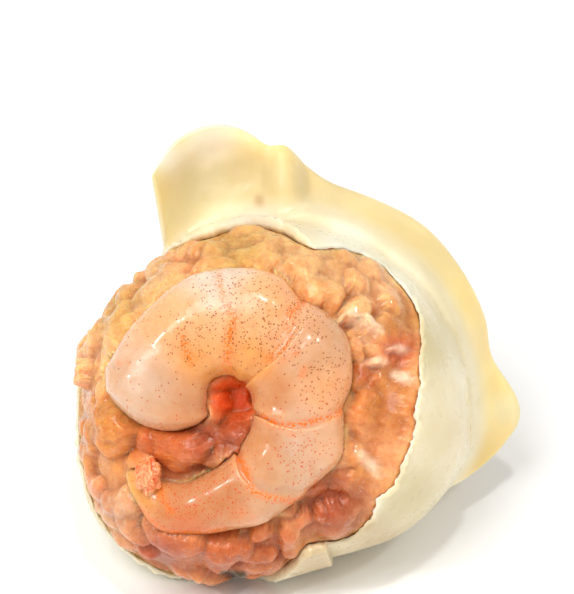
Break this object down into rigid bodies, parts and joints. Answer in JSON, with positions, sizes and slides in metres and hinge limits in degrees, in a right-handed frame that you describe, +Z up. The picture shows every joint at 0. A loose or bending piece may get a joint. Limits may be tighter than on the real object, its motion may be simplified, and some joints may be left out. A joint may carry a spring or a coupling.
{
  "type": "prawn chicken dumpling",
  "caption": "Boiled dumpling, cut open in front: a dough cup with a wavy pinched frill behind, full of chopped chicken, and a curled peeled prawn lying in the open face.",
  "frame": {"origin": "middle of the bounding box at the bottom, on the surface the dumpling rests on", "axes": "+Z up as the dumpling rests; the open face looks along -Y and upwards, leaning back by 38 degrees; +X to the right seen from the open face"},
  "size_m": [0.0492, 0.0394, 0.0417],
  "materials": {
    "dough": "wet boiled wheat dough, pale cream, slightly see-through at its thin edge",
    "chicken": "moist chopped cooked chicken, peach to light brown, glossy",
    "prawn_flesh": "wet cooked peeled prawn, pale pink with fine orange specks and orange segment edges"
  },
  "bodies": {
    "root": {"wrapper": "dough", "chicken_filling": "chicken", "prawn": "prawn_flesh"}
  },
  "joints": []
}
